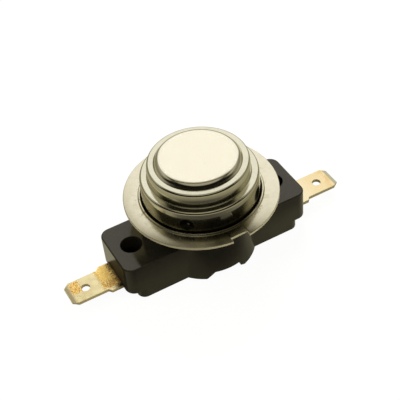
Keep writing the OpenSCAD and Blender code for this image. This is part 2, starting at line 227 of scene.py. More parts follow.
class Shader(Nodes):
    """A material's nodes, with coordinates of the part in millimetres."""

    def __init__(self, name):
        self.material = bpy.data.materials.new(name)
        self.material.use_nodes = True
        super().__init__(self.material.node_tree)
        self.bsdf = self.tree.nodes["Principled BSDF"]
        coords = self.node("ShaderNodeTexCoord").outputs
        self.place = self.vector("SCALE", coords["Object"], scale=1 / MM)
        self.facing = coords["Normal"]
        split = self.node("ShaderNodeSeparateXYZ", {"Vector": self.place})
        self.x, self.y, self.z = split.outputs

    def noise(self, scale=1.0, detail=3.0, rough=0.55, where=None, warp=0.0):
        made = self.node("ShaderNodeTexNoise", {
            "Vector": self.place if where is None else where, "Scale": scale, "Detail": detail,
            "Roughness": rough, "Distortion": warp})
        return made.outputs["Fac"]

    def stretched(self, scales):
        """The place with each axis scaled: noise there draws lines along the axis that is scaled least."""
        return self.vector("MULTIPLY", self.place, scales)

    def polar(self, around, along):
        """Coordinates that run round the cup's axis: fine lines along z where around is large."""
        flat = self.combine(self.x, self.y, 0.0)
        way = self.vector("SCALE", self.vector("NORMALIZE", flat), scale=around)
        return self.vector("ADD", way, self.combine(0.0, 0.0, along))

    def sway(self, noise, reach):
        """A noise as a shift to both sides."""
        return self.times(self.math("SUBTRACT", noise, NOISE_MEAN), reach)

    def away(self, place):
        """Distance from a place."""
        return self.vector("DISTANCE", self.place, place)

    def radius(self):
        """Distance from the cup's axis."""
        return self.vector("LENGTH", self.combine(self.x, self.y, 0.0))

    def sheared(self):
        """Masks of a sheet's cut edges and of its bevels."""
        upright = self.node("ShaderNodeSeparateXYZ", {"Vector": self.facing}).outputs["Z"]
        upright = self.math("ABSOLUTE", upright)
        return self.ramp(upright, *CUT_FACING), self.ramp(upright, *BEVEL_FACING)

    def bump(self, height, depth, strength):
        made = self.node("ShaderNodeBump", {"Height": height, "Distance": depth, "Strength": strength})
        self.tree.links.new(made.outputs["Normal"], self.bsdf.inputs["Normal"])

    def finish(self, **inputs):
        for key, value in inputs.items():
            socket = self.bsdf.inputs[key.replace("_", " ")]
            self.feed(socket, (*value, 1.0) if isinstance(value, tuple) and len(value) == 3 else value)
        return self.material


# Moulding: colours and gloss, rubbed spots, and the dull ends low beside the tabs
MOULD_COLOURS = (0.012, 0.0113, 0.0082), (0.016, 0.015, 0.011)
MOULD_SHEEN = (1.0, 0.95, 0.76)
MOULD_IOR = 1.56
MOULD_ROUGH = (0.11, 0.16)
GRAIN_BUMP = 0.5
RUBBED_REACH = (0.56, 0.76)
RUBBED_COLOUR = (0.032, 0.030, 0.022)
RUBBED_SHARE = 0.35
RUBBED_ROUGH = 0.08
END_FACE = (22.0, 22.3)
END_SLOPE = 0.93
END_DULL = (7.4, 6.4)
END_ROUGH = 0.35
END_SPECULAR = (0.5, 0.06)


def moulding_material():
    """Black phenolic: glossy skin with a slow mottle, fine grain, faint rubbed spots and dull ends."""
    s = Shader("moulding")
    mottle = s.noise(scale=0.35, detail=4.0, rough=0.6)
    grain = s.noise(scale=9.0, detail=2.0)
    rubbed = s.ramp(s.noise(scale=1.4, detail=5.0, rough=0.7), *RUBBED_REACH)
    low = s.plus(s.y, s.times(s.z, END_SLOPE))
    ends = s.times(s.ramp(s.math("ABSOLUTE", s.x), *END_FACE), s.ramp(low, *END_DULL))
    colour = s.mix(s.ramp(mottle, *MIDDLE), *MOULD_COLOURS)
    colour = s.mix(s.times(rubbed, RUBBED_SHARE), colour, RUBBED_COLOUR)
    rough = s.plus(s.ramp(mottle, *MIDDLE, *MOULD_ROUGH), s.times(rubbed, RUBBED_ROUGH),
                   s.times(ends, END_ROUGH))
    s.bump(s.plus(s.times(grain, GRAIN_BUMP), mottle), depth=0.004 * MM, strength=0.5)
    return s.finish(Base_Color=colour, Roughness=rough, Specular_Tint=MOULD_SHEEN, IOR=MOULD_IOR,
                    Specular_IOR_Level=s.ramp(ends, 0.0, 1.0, *END_SPECULAR))


# Cup: colours of top and steps, filmed top, haze and painted shade on the lower wall, painted shade in the
# lip's gap, low in front and in the dimples, a grime speck, and painted glints in the dimples
CUP_TOP_COLOURS = (0.930, 0.875, 0.715), (0.915, 0.860, 0.695)
CUP_STEP_COLOURS = (0.82, 0.785, 0.61), (0.77, 0.735, 0.56)
CUP_STEPS_FROM = (9.2, 9.5)
CUP_ROUGH = (0.08, 0.13)
CUP_DULL_FROM = (7.6, 8.6)
CUP_DULL = 0.05
FILM_END = (7.7, 8.2)
FILM_METALLIC = 0.86
DRAW_LINES = 55.0
DRAW_RISE = 0.25
LINE_BUMP = 0.7
FINE_BUMP = 0.3
# Haze and painted shade: the lower wall's colour is darkened, more towards the front, where shade falls.
HAZE_AND_SHADE_COLOUR = (0.32, 0.30, 0.19)
HAZE_AND_SHADE_HEIGHT = (21.4, 17.0)
HAZE_AND_SHADE_CLOUD = (0.1, 0.9)
HAZE_SHADE_FRONT = (-2.0, -11.0)
HAZE_AND_SHADE_LEVELS = (0.4, 0.9)
# Painted shade, with one grime speck: dark colour in the lip's gap, low on the front wall and inside the
# dimples.
GRIME_AND_SHADE_COLOUR = (0.018, 0.016, 0.010)
GRIME_AND_SHADE_ROUGH = 0.25
GAP_SHADE = (16.66, 16.30)
FOOT_SHADE = (18.4, 16.8)
FRONT_SHADE = (-8.0, -11.5)
FRONT_SHADE_END = (7.5, 4.0)
FRONT_SHADE_LEVEL = 0.75
DIMPLE_SHADE = (2.1, 1.35)
DIMPLE_SHADE_JAG = 0.8
# Painted glint: a pale, less metallic spot beside each dimple's middle.
DIMPLE_GLINT_COLOUR = (0.32, 0.30, 0.20)
DIMPLE_GLINT_OFFSET = (0.85, 0.5, -0.1)
DIMPLE_GLINT_SIZE = (0.55, 0.25)
DIMPLE_GLINT_DULL = 0.8
SPECK_AT = (0.26, -2.82, 26.25)
SPECK_SIZE = (0.20, 0.08)
SPECK_LEVEL = 0.5


def cup_grime_and_shade(s, fine):
    """Masks of painted shade in the lip's gap, low in front and in the dimples, with a grime speck, and of
    painted glints in the dimples.
    """
    # Painted shade in the gap at the lip, low on the front wall and in each dimple; only the speck is grime.
    front = s.times(s.ramp(s.z, *FOOT_SHADE), s.ramp(s.y, *FRONT_SHADE, 0.0, FRONT_SHADE_LEVEL),
                    s.ramp(s.x, *FRONT_SHADE_END))
    speck = s.times(s.ramp(s.away(SPECK_AT), *SPECK_SIZE), SPECK_LEVEL)
    grime_and_shade = s.most(s.ramp(s.z, *GAP_SHADE), speck, front)
    jag = s.sway(fine, DIMPLE_SHADE_JAG)
    glint = 0.0
    for place in dimple_places():
        grime_and_shade = s.most(grime_and_shade, s.ramp(s.plus(s.away(place), jag), *DIMPLE_SHADE))
        # Painted glint: a pale spot beside the dimple's middle.
        glint_at = tuple(a + b for a, b in zip(place, DIMPLE_GLINT_OFFSET))
        glint = s.most(glint, s.ramp(s.away(glint_at), *DIMPLE_GLINT_SIZE))
    return grime_and_shade, glint


def cup_material():
    """Bright drawn steel: polished top with a thin film, duller steps with draw lines, haze and painted shade
    below, painted glints in the dimples and a grime speck.
    """
    s = Shader("cup_steel")
    lines = s.noise(rough=0.6, where=s.polar(DRAW_LINES, s.times(s.z, DRAW_RISE)))
    cloud = s.noise(scale=0.45, detail=4.0, rough=0.6)
    fine = s.noise(scale=14.0, detail=2.0)
    blotch = s.ramp(cloud, *MIDDLE)
    steps = s.ramp(s.radius(), *CUP_STEPS_FROM)
    # Haze and painted shade: darker low on the wall and more so towards the front.
    haze_and_shade = s.times(s.ramp(s.z, *HAZE_AND_SHADE_HEIGHT), s.ramp(cloud, *HAZE_AND_SHADE_CLOUD),
                   s.ramp(s.y, *HAZE_SHADE_FRONT, *HAZE_AND_SHADE_LEVELS))
    grime_and_shade, glint = cup_grime_and_shade(s, fine)
    colour = s.mix(steps, s.mix(blotch, *CUP_TOP_COLOURS), s.mix(blotch, *CUP_STEP_COLOURS))
    colour = s.mix(haze_and_shade, colour, HAZE_AND_SHADE_COLOUR)
    # Painted shade in the gap, low in front and in the dimples, and a grime speck on top.
    colour = s.mix(grime_and_shade, colour, GRIME_AND_SHADE_COLOUR)
    # Painted glint in each dimple, also less metallic below.
    colour = s.mix(glint, colour, DIMPLE_GLINT_COLOUR)
    rough = s.plus(s.ramp(lines, *MIDDLE, *CUP_ROUGH), s.ramp(s.radius(), *CUP_DULL_FROM, 0.0, CUP_DULL),
                   s.times(grime_and_shade, GRIME_AND_SHADE_ROUGH))
    film = s.ramp(s.radius(), *FILM_END, FILM_METALLIC, 1.0)
    height = s.plus(s.times(lines, LINE_BUMP), s.times(fine, FINE_BUMP))
    s.bump(s.times(height, steps), depth=0.003 * MM, strength=0.4)
    return s.finish(Base_Color=colour, Roughness=rough,
                    Metallic=s.math("SUBTRACT", film, s.times(glint, DIMPLE_GLINT_DULL)))


# Flange: colours, stains near the lip, painted shade in front of the cup and the pale cut rim
FLANGE_COLOURS = (0.87, 0.815, 0.625), (0.82, 0.76, 0.57)
FLANGE_ROUGH = (0.18, 0.23)
ROLLING = (9.0, 0.5, 4.0)
FLANGE_STAIN = (0.42, 0.36, 0.18)
FLANGE_STAIN_SPOTS = (0.5, 0.72)
FLANGE_STAIN_NEAR = (15.6, 13.2)
FLANGE_STAIN_SHARE = 0.6
# Painted shade: a darker patch on the flange in front of the cup, where its shade falls.
FLANGE_SHADE_COLOUR = (0.22, 0.20, 0.12)
FLANGE_SHADE_FRONT = (-10.5, -13.5)
FLANGE_SHADE_MIDDLE = -1.0
FLANGE_SHADE_WIDTH = (7.0, 3.0)
FLANGE_SHADE_CLOUD = (0.2, 0.6)
FLANGE_SHADE_LEVELS = (0.7, 0.9)
RIM_COLOUR = (0.62, 0.57, 0.40)
RIM_FROM = (15.0, 15.4)
RIM_METALLIC = 0.3
WORN_ROUGH = 0.2


def flange_material():
    """Satin sheet steel: rolling grain along one way, blotches, stains near the lip, painted shade in front and
    a pale rim.
    """
    s = Shader("flange_steel")
    rolled = s.noise(rough=0.6, where=s.stretched(ROLLING))
    cloud = s.noise(scale=0.5, detail=4.0, rough=0.65)
    spots = s.ramp(s.noise(scale=0.8, detail=5.0, rough=0.7, warp=0.6), *FLANGE_STAIN_SPOTS)
    stain = s.times(spots, s.ramp(s.radius(), *FLANGE_STAIN_NEAR))
    # Painted shade on the flange in front of the cup.
    aside = s.math("ABSOLUTE", s.math("SUBTRACT", s.x, FLANGE_SHADE_MIDDLE))
    flange_shade = s.times(s.ramp(s.y, *FLANGE_SHADE_FRONT), s.ramp(aside, *FLANGE_SHADE_WIDTH),
                   s.ramp(cloud, *FLANGE_SHADE_CLOUD, *FLANGE_SHADE_LEVELS))
    rim = s.times(s.sheared()[0], s.ramp(s.radius(), *RIM_FROM))
    colour = s.mix(s.ramp(cloud, *MIDDLE), *FLANGE_COLOURS)
    colour = s.mix(s.times(stain, FLANGE_STAIN_SHARE), colour, FLANGE_STAIN)
    colour = s.mix(flange_shade, colour, FLANGE_SHADE_COLOUR)
    colour = s.mix(rim, colour, RIM_COLOUR)
    rough = s.plus(s.ramp(rolled, *WIDE, *FLANGE_ROUGH), s.times(s.most(stain, rim), WORN_ROUGH))
    s.bump(rolled, depth=0.003 * MM, strength=0.4)
    return s.finish(Base_Color=colour, Metallic=s.ramp(rim, 0.0, 1.0, 1.0, RIM_METALLIC), Roughness=rough)


# Blades: share of dullness on cut edges and bevels
CUT_SHARE = 0.7
BEVEL_DULL = 0.45

# Left blade: clean colours and tip, flecks, stain at the root and behind the tip, rust specks, brown fringe
STAINED_COLOURS = (0.96, 0.825, 0.475), (0.91, 0.77, 0.42)
STAINED_TIP_COLOUR = (1.0, 0.87, 0.56)
STAINED_TIP = (-32.75, -33.05)
STAINED_CUT = (0.36, 0.30, 0.15)
STAINED_ROUGH = (0.16, 0.22)
STAINED_DULL_ROUGH = 0.35
CLOUD_BUMP = 0.3
STAIN_COLOURS = (1.0, 0.70, 0.19), (1.0, 0.86, 0.48)
STAIN_SPECKLE = (0.52, 0.62)
STAIN_JAG = 3.0
STAIN_DULL = 0.85
ROOT_STAIN_FROM = (-26.7, -26.0)
ROOT_STAIN_FRONT = (-3.4, -2.4)
TIP_STAIN_FROM = (-30.3, -30.7)
TIP_STAIN_TO = (-32.9, -32.6)
TIP_STAIN_FRONT = (-1.0, -0.2)
TIP_STAIN_BACK = (3.0, 2.4)
FLECK_COLOUR = (0.70, 0.54, 0.18)
FLECK_SPOTS = (0.55, 0.60)
FLECK_FROM = (-29.4, -30.6)
FLECK_SHARE = 0.6
RUST_COLOUR = (0.36, 0.15, 0.025)
RUST_FRONT = (0.4, -1.4)
RUST_EDGE = (-25.6, -26.3)
RUST_LEAST = 0.3
RUST_SPOTS = (0.55, 0.48)
RUST_SHARE = 0.9
FRINGE_COLOUR = (0.10, 0.06, 0.02)
FRINGE_STREAKS = (2.2, 4.5, 2.2)
FRINGE_JAG = 6.0
FRINGE_FROM = (-23.2, -22.9)
FRINGE_SHARE = 0.95


def blade_stains(s, speckle):
    """Masks of the left blade's stain and of the rust specks in it."""
    jag = s.sway(s.noise(scale=1.5, detail=4.0, rough=0.75), STAIN_JAG)
    along, across = s.plus(s.x, jag), s.plus(s.y, jag)
    root = s.times(s.ramp(along, *ROOT_STAIN_FROM), s.ramp(across, *ROOT_STAIN_FRONT))
    tip = s.times(s.ramp(along, *TIP_STAIN_FROM), s.ramp(along, *TIP_STAIN_TO),
                  s.ramp(across, *TIP_STAIN_FRONT), s.ramp(across, *TIP_STAIN_BACK))
    stain = s.most(root, tip)
    rusty = s.most(s.ramp(across, *RUST_FRONT), tip, s.ramp(along, *RUST_EDGE), RUST_LEAST)
    return stain, s.times(rusty, stain, s.ramp(speckle, *RUST_SPOTS))


def stained_tab_material():
    """Tinned brass blade: orange stain behind the tip and at the root, brown fringe against the body."""
    s = Shader("stained_tab")
    cloud = s.noise(scale=0.55, detail=4.0, rough=0.6)
    speckle = s.noise(scale=4.2, detail=5.0, rough=0.8)
    stain, rust = blade_stains(s, speckle)
    fleck = s.times(s.ramp(s.noise(scale=2.6, detail=4.0, rough=0.7), *FLECK_SPOTS), s.ramp(s.x, *FLECK_FROM))
    streak = s.noise(detail=5.0, rough=0.8, where=s.stretched(FRINGE_STREAKS))
    fringe = s.ramp(s.plus(s.x, s.sway(streak, FRINGE_JAG)), *FRINGE_FROM)
    cut, bevel = s.sheared()
    colour = s.mix(s.ramp(cloud, *MIDDLE), *STAINED_COLOURS)
    colour = s.mix(s.times(fleck, FLECK_SHARE), colour, FLECK_COLOUR)
    colour = s.mix(s.ramp(s.x, *STAINED_TIP), colour, STAINED_TIP_COLOUR)
    colour = s.mix(stain, colour, s.mix(s.ramp(speckle, *STAIN_SPECKLE), *STAIN_COLOURS))
    colour = s.mix(s.times(rust, RUST_SHARE), colour, RUST_COLOUR)
    colour = s.mix(s.times(fringe, FRINGE_SHARE), colour, FRINGE_COLOUR)
    colour = s.mix(s.times(cut, CUT_SHARE), colour, STAINED_CUT)
    dull = s.most(s.times(stain, STAIN_DULL), s.times(cut, CUT_SHARE), s.times(bevel, BEVEL_DULL))
    rough = s.plus(s.ramp(cloud, *MIDDLE, *STAINED_ROUGH), s.times(dull, STAINED_DULL_ROUGH))
    s.bump(s.plus(stain, speckle, s.times(cloud, CLOUD_BUMP)), depth=0.006 * MM, strength=0.4)
    return s.finish(Base_Color=colour, Metallic=s.math("SUBTRACT", 1.0, dull), Roughness=rough)


# Right blade: colours, paler at the root, orange tarnish towards the tip, grey tip and bevels
CLEAN_COLOURS = (0.98, 0.795, 0.455), (0.95, 0.76, 0.415)
CLEAN_ROOT_COLOUR = (1.0, 0.86, 0.55)
CLEAN_ROOT = (29.5, 25.0)
CLEAN_TIP_COLOUR = (0.50, 0.47, 0.32)
CLEAN_TIP = (32.7, 33.1)
CLEAN_CUT = (0.36, 0.30, 0.14)
CLEAN_ROUGH = (0.15, 0.22)
CLEAN_DULL_ROUGH = 0.5
BRUSHING = (0.8, 12.0, 6.0)
TARNISH_COLOUR = (0.85, 0.59, 0.24)
TARNISH_FROM = (30.6, 32.4)
TARNISH_CLOUD = (0.38, 0.58)
TARNISH_SHARE = 0.65


def clean_tab_material():
    """Tinned brass blade, golden with a faint orange tarnish towards the tip."""
    s = Shader("clean_tab")
    cloud = s.noise(scale=0.5, detail=4.0, rough=0.6)
    fine = s.noise(rough=0.6, where=s.stretched(BRUSHING))
    tarnish = s.times(s.ramp(s.x, *TARNISH_FROM), s.ramp(cloud, *TARNISH_CLOUD))
    cut, bevel = s.sheared()
    colour = s.mix(s.ramp(cloud, *MIDDLE), *CLEAN_COLOURS)
    colour = s.mix(s.ramp(s.x, *CLEAN_ROOT), colour, CLEAN_ROOT_COLOUR)
    colour = s.mix(s.times(tarnish, TARNISH_SHARE), colour, TARNISH_COLOUR)
    colour = s.mix(s.most(s.ramp(s.x, *CLEAN_TIP), bevel), colour, CLEAN_TIP_COLOUR)
    colour = s.mix(s.times(cut, CUT_SHARE), colour, CLEAN_CUT)
    dull = s.most(s.times(bevel, BEVEL_DULL), s.times(cut, CUT_SHARE))
    rough = s.plus(s.ramp(fine, *WIDE, *CLEAN_ROUGH), s.times(dull, CLEAN_DULL_ROUGH))
    s.bump(s.plus(fine, cloud), depth=0.004 * MM, strength=0.4)
    return s.finish(Base_Color=colour, Metallic=s.math("SUBTRACT", 1.0, dull), Roughness=rough)


# Inner pieces: metals as light colour, dark colour and least roughness, then the board and the ceramic
RIVET_METAL = (0.62, 0.52, 0.30), (0.45, 0.34, 0.16), 0.32
CONTACT_SILVER = (0.80, 0.80, 0.77), (0.62, 0.60, 0.55), 0.28
DISC_METAL = (0.60, 0.55, 0.47), (0.48, 0.42, 0.34), 0.30
SPRING_METAL = (0.72, 0.44, 0.23), (0.58, 0.33, 0.16), 0.30
SCRATCHES = (1.2, 14.0, 9.0)
SCRATCH_ROUGH = 0.14
BOARD_COLOURS = (0.30, 0.17, 0.085), (0.40, 0.25, 0.14)
BOARD_LAYERS = (0.3, 0.3, 7.0)
BOARD_FIBRE = (0.18, 0.10, 0.05)
BOARD_FIBRES = (0.55, 0.75)
BOARD_FIBRE_SHARE = 0.5
BOARD_ROUGH = (0.5, 0.7)
CERAMIC_COLOURS = (0.86, 0.84, 0.78), (0.66, 0.63, 0.56)
CERAMIC_PORES = (0.55, 0.72)
CERAMIC_ROUGH = (0.55, 0.75)


def plain_metal_material(name, light, dark, rough):
    """Inner metal pieces: blotched colour, fine scratches and uneven gloss."""
    s = Shader(name)
    cloud = s.noise(scale=0.8, detail=4.0, rough=0.65)
    scratch = s.noise(rough=0.6, where=s.stretched(SCRATCHES))
    colour = s.mix(s.ramp(cloud, *MIDDLE), light, dark)
    s.bump(scratch, depth=0.006 * MM, strength=0.5)
    return s.finish(Base_Color=colour, Metallic=1.0,
                    Roughness=s.ramp(scratch, *WIDE, rough, rough + SCRATCH_ROUGH))


def board_material():
    """Brown laminated board: layers along z and small fibres."""
    s = Shader("guide_board")
    layers = s.noise(detail=2.0, rough=0.5, where=s.stretched(BOARD_LAYERS))
    fibre = s.noise(scale=4.0, detail=4.0, rough=0.7)
    colour = s.mix(s.ramp(layers, *MIDDLE), *BOARD_COLOURS)
    colour = s.mix(s.ramp(fibre, *BOARD_FIBRES, 0.0, BOARD_FIBRE_SHARE), colour, BOARD_FIBRE)
    s.bump(fibre, depth=0.02 * MM, strength=0.5)
    return s.finish(Base_Color=colour, Roughness=s.ramp(fibre, *MIDDLE, *BOARD_ROUGH))


def ceramic_material():
    """Unglazed white ceramic: chalky with small grey pores."""
    s = Shader("pin_ceramic")
    grain = s.noise(scale=6.0, detail=4.0, rough=0.7)
    colour = s.mix(s.ramp(grain, *CERAMIC_PORES), *CERAMIC_COLOURS)
    s.bump(grain, depth=0.012 * MM, strength=0.6)
    return s.finish(Base_Color=colour, Roughness=s.ramp(grain, *MIDDLE, *CERAMIC_ROUGH))


def add_piece(mesh, material):
    """A new piece that rides on the part's frame, smooth but for edges past EDGE_ANGLE."""
    mesh.shade_smooth()
    mesh.set_sharp_from_angle(angle=EDGE_ANGLE)
    mesh.materials.append(material)
    piece = bpy.data.objects.new(mesh.name, mesh)
    bpy.context.scene.collection.objects.link(piece)
    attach(piece, "frame")
    return piece


def built_piece(name, vertices, faces, material):
    """A new piece from its points and faces."""
    mesh = bpy.data.meshes.new(name)
    mesh.from_pydata(vertices, [], faces)
    mesh.validate()
    return add_piece(mesh, material)


def corner_arc(before, corner, after, radius):
    """Points of the arc that rounds a corner of a section."""
    u = (Vector(before) - Vector(corner)).normalized()
    v = (Vector(after) - Vector(corner)).normalized()
    half = u.angle(v) / 2
    centre = Vector(corner) + (u + v).normalized() * (radius / math.sin(half))
    start = Vector(corner) + u * (radius / math.tan(half)) - centre
    turn = start.angle(Vector(corner) + v * (radius / math.tan(half)) - centre)
    turn *= -1 if u.cross(v) > 0 else 1
    steps = [Matrix.Rotation(turn * k / ARC_STEPS, 2) @ start for k in range(ARC_STEPS + 1)]
    return [tuple(centre + p) for p in steps]


def section(points):
    """A section in radius and height: each point is (r, z, rounding)."""
    path = []
    for i, (r, z, rounding) in enumerate(points):
        if rounding == 0:
            path.append((r, z))
        else:
            path += corner_arc(points[i - 1][:2], (r, z), points[i + 1][:2], rounding)
    return path


def refined(path):
    """The section with its stretches outside WALL_R cut into short lengths."""
    out = [path[0]]
    for a, b in zip(path, path[1:]):
        parts = max(1, math.ceil(math.dist(a, b) / WALL_STEP)) if min(a[0], b[0]) > WALL_R else 1
        out += [(a[0] + (b[0] - a[0]) * k / parts, a[1] + (b[1] - a[1]) * k / parts)
                for k in range(1, parts + 1)]
    return out


def dimple_places():
    """Middles of the dimples in millimetres."""
    return [(CUP_R / MM * math.cos(t), CUP_R / MM * math.sin(t), DIMPLE_Z / MM) for t in DIMPLE_TURNS]


def pressed(r, angle, z, sheet):
    """Radius of the cup's wall where the staking punch has pushed it in."""
    ball = (DIMPLE_D ** 2 / 4 + DIMPLE_DEPTH ** 2) / (2 * DIMPLE_DEPTH)
    reach = CUP_R - DIMPLE_DEPTH + ball
    for middle in DIMPLE_TURNS:
        turn = angle - middle
        inside = (ball + sheet) ** 2 - (reach * math.sin(turn)) ** 2 - (z - DIMPLE_Z) ** 2
        if inside > 0 and math.cos(turn) > 0:
            r = min(r, reach * math.cos(turn) - math.sqrt(inside))
    return r


def slope(a, b):
    """Angle down from one corner of a section to the next."""
    return math.atan2(a[1] - b[1], b[0] - a[0])


def sheet_corner(a, b, c):
    """Corner b of the cup's outside, moved in by the sheet's thickness."""
    before, after = slope(a, b), slope(b, c)
    shift = CUP_T / math.cos((after - before) / 2)
    middle = (before + after) / 2
    rounding = b[2] + (CUP_T if after < before else -CUP_T)
    return b[0] - shift * math.sin(middle), b[1] - shift * math.cos(middle), max(rounding, INNER_R)


def make_cup(material):
    """The drawn cup, outside and inside."""
    low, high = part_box("cup")
    top = high.z
    step1 = top - TOP_RISE
    step2 = step1 - STEP_H
    foot = low.z + CUP_T
    edge_r = TOP_R - (TOP_RISE - CROWN_DROP) / math.tan(TOP_SLOPE)
    outside = [
        (0, top, 0), (edge_r - CROWN_W, top, CROWN_ROUND), (edge_r, top - CROWN_DROP, TOP_EDGE_R),
        (TOP_R, step1, TOP_FOOT_R), (STEP_R - STEP_LEAN, step1, STEP_EDGE_R),
        (STEP_R, step1 - LEAN_H, LEAN_ROUND), (STEP_R, step2, STEP_FOOT_R),
        (CUP_R - CUP_LEAN, step2, STEP_EDGE_R), (CUP_R, step2 - LEAN_H, LEAN_ROUND),
        (CUP_R, foot, STEP_FOOT_R)]
    bends = [sheet_corner(*outside[i - 1:i + 2]) for i in range(len(outside) - 2, 0, -1)]
    outer = section(outside + [(CUP_R + RIM_W, foot, 0), (CUP_R + RIM_W, low.z, 0)])
    inner = section([(CUP_R - CUP_T, low.z, 0), *bends, (0, top - CUP_T, 0)])
    path = [(r, z, 0.0) for r, z in refined(outer)] + [(r, z, CUP_T) for r, z in refined(inner)]
    return lathe("cup_shell", path, material)


def lathe(name, path, material):
    """Turns a section about z, with the dimples pressed in. Its two ends lie on the axis."""
    rings = path[1:-1]
    vertices = [(0, 0, path[0][1]), (0, 0, path[-1][1])]
    for column in range(CUP_COLUMNS):
        angle = 2 * math.pi * column / CUP_COLUMNS
        for r, z, sheet in rings:
            shown = pressed(r, angle, z, sheet) if r > WALL_R else r
            vertices.append((shown * math.cos(angle), shown * math.sin(angle), z))
    faces = []
    count = len(rings)
    for column in range(CUP_COLUMNS):
        a = 2 + column * count
        b = 2 + (column + 1) % CUP_COLUMNS * count
        faces.append((0, a, b))
        faces += [(a + k, a + k + 1, b + k + 1, b + k) for k in range(count - 1)]
        faces.append((1, b + count - 1, a + count - 1))
    return built_piece(name, vertices, faces, material)


def arc_columns(radius):
    """The flange's round edge on the right, from notch to notch."""
    start = math.asin(NOTCH_W / 2 / radius)
    lip_start = math.asin((NOTCH_W / 2 + FLANGE_EDGE_R) / LIP_OUT)
    wall = Vector((-1, 0))
    for k in range(FLANGE_ARC + 1):
        share = k / FLANGE_ARC
        angle = start + (math.pi - 2 * start) * share - math.pi / 2
        lip = lip_start + (math.pi - 2 * lip_start) * share - math.pi / 2
        way = Vector((math.cos(angle), math.sin(angle)))
        mitre = (way + wall) / (1 + way.dot(wall)) if k in (0, FLANGE_ARC) else way
        yield way * radius, mitre, lip


def notch_columns(radius):
    """The floor of the back notch, from right to left."""
    half = NOTCH_W / 2
    lip_half = math.asin(half / LIP_OUT)
    for k in range(NOTCH_COLUMNS + 1):
        x = half - NOTCH_W * k / NOTCH_COLUMNS
        corner = {0: -1, NOTCH_COLUMNS: 1}.get(k, 0)
        yield Vector((x, radius - NOTCH_DEPTH)), Vector((corner, 1)), math.pi / 2 - lip_half * x / half


def flange_outline(radius):
    """The flange's edge as (point, mitre, angle of its column on the lip), once round."""
    columns = []
    for side in (0, math.pi):
        turn = Matrix.Rotation(side, 2)
        for point, mitre, lip in (*arc_columns(radius), *notch_columns(radius)):
            columns.append((turn @ point, turn @ mitre, lip + side))
    return columns


def make_flange(material):
    """The notched flange with its inner lip."""
    low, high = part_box("flange_ring")
    radius = high.x
    bottom = low.z
    top = high.z - LIP_H
    lip = section([(LIP_IN, bottom, 0), (LIP_IN, high.z, LIP_EDGE_R), (LIP_OUT, high.z, LIP_EDGE_R),
                   (LIP_OUT, top, LIP_FOOT_R), (radius, top, 0)])[:-1]
    soft = [k * math.pi / 2 / EDGE_STEPS for k in range(EDGE_STEPS + 1)]
    edge = [(FLANGE_EDGE_R * (1 - math.sin(a)), top - FLANGE_EDGE_R * (1 - math.cos(a))) for a in soft]
    edge.append((0, bottom))
    vertices = []
    columns = flange_outline(radius)
    for point, mitre, angle in columns:
        vertices += [(r * math.cos(angle), r * math.sin(angle), z) for r, z in lip]
        vertices += [(*(point - mitre * inset), z) for inset, z in edge]
    rings = len(lip) + len(edge)
    faces = []
    for j in range(len(columns)):
        a = j * rings
        b = (j + 1) % len(columns) * rings
        faces += [(a + k, b + k, b + (k + 1) % rings, a + (k + 1) % rings) for k in range(rings)]
    turn = Matrix.Rotation(FLANGE_TURN, 3, "Z")
    return built_piece("flange_plate", [turn @ Vector(v) for v in vertices],
                       [tuple(reversed(f)) for f in faces], material)


def eased_copy(node, name, edge, material, wanted):
    """A node's shape as a new piece, with the wanted sharp edges rounded."""
    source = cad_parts[node].data
    shape = bmesh.new()
    points = [shape.verts.new(v.co) for v in source.vertices]
    for polygon in source.polygons:
        shape.faces.new([points[i] for i in polygon.vertices])
    bmesh.ops.remove_doubles(shape, verts=shape.verts, dist=WELD)
    bmesh.ops.dissolve_limit(shape, angle_limit=FLAT_ANGLE, verts=shape.verts, edges=shape.edges)
    sharp = [e for e in shape.edges if e.is_manifold and e.calc_face_angle() > EDGE_ANGLE and wanted(e)]
    bmesh.ops.bevel(shape, geom=sharp, offset=edge, segments=EDGE_STEPS, profile=0.5, affect="EDGES",
                    clamp_overlap=True, loop_slide=True)
    bmesh.ops.recalc_face_normals(shape, faces=shape.faces)
    mesh = bpy.data.meshes.new(name)
    shape.to_mesh(mesh)
    shape.free()
    piece = add_piece(mesh, material)
    weighted = piece.modifiers.new("weighted", "WEIGHTED_NORMAL")
    weighted.keep_sharp = True
    weighted.weight = NORMAL_WEIGHT
    return piece


def make_housing(material):
    """The moulding, with its outer edges rounded below the neck and the chamber's edges left sharp."""
    half_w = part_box("bottom_cover")[1].y

    def outside(edge):
        middle = (edge.verts[0].co + edge.verts[1].co) / 2
        inner = abs(middle.y) < half_w + CHAMBER_ROOM and middle.z < CHAMBER_ROOF
        return middle.z < NECK_FOOT and not (inner and abs(middle.x) < CHAMBER_END)

    return eased_copy("housing", "housing_shell", MOULD_EDGE, material, outside)


def make_blade(node, name, material):
    """A terminal, with the edges of its blade rounded."""
    return eased_copy(node, name, BLADE_EDGE, material, lambda edge: abs(edge.verts[0].co.x) > BLADE_FROM)


def dress_inner_nodes(moulding):
    """Materials of the nodes that keep their own shape."""
    brass = plain_metal_material("rivet_metal", *RIVET_METAL)
    silver = plain_metal_material("contact_silver", *CONTACT_SILVER)
    finishes = {
        "bottom_cover": moulding, "left_rivet": brass, "right_rivet": brass,
        "bimetal_disc": plain_metal_material("disc_metal", *DISC_METAL),
        "pin_guide": board_material(), "transfer_pin": ceramic_material(),
        "contact_arm": plain_metal_material("spring_metal", *SPRING_METAL),
        "moving_contact": silver, "fixed_contact": silver}
    for node, material in finishes.items():
        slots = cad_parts[node].data.materials
        slots.clear()
        slots.append(material)


def direction(azimuth, elevation):
    """From the part outwards: azimuth 0 is the front, -Y, and 90 degrees the right, +X."""
    flat = math.cos(elevation)
    return Vector((math.sin(azimuth) * flat, -math.cos(azimuth) * flat, math.sin(elevation)))


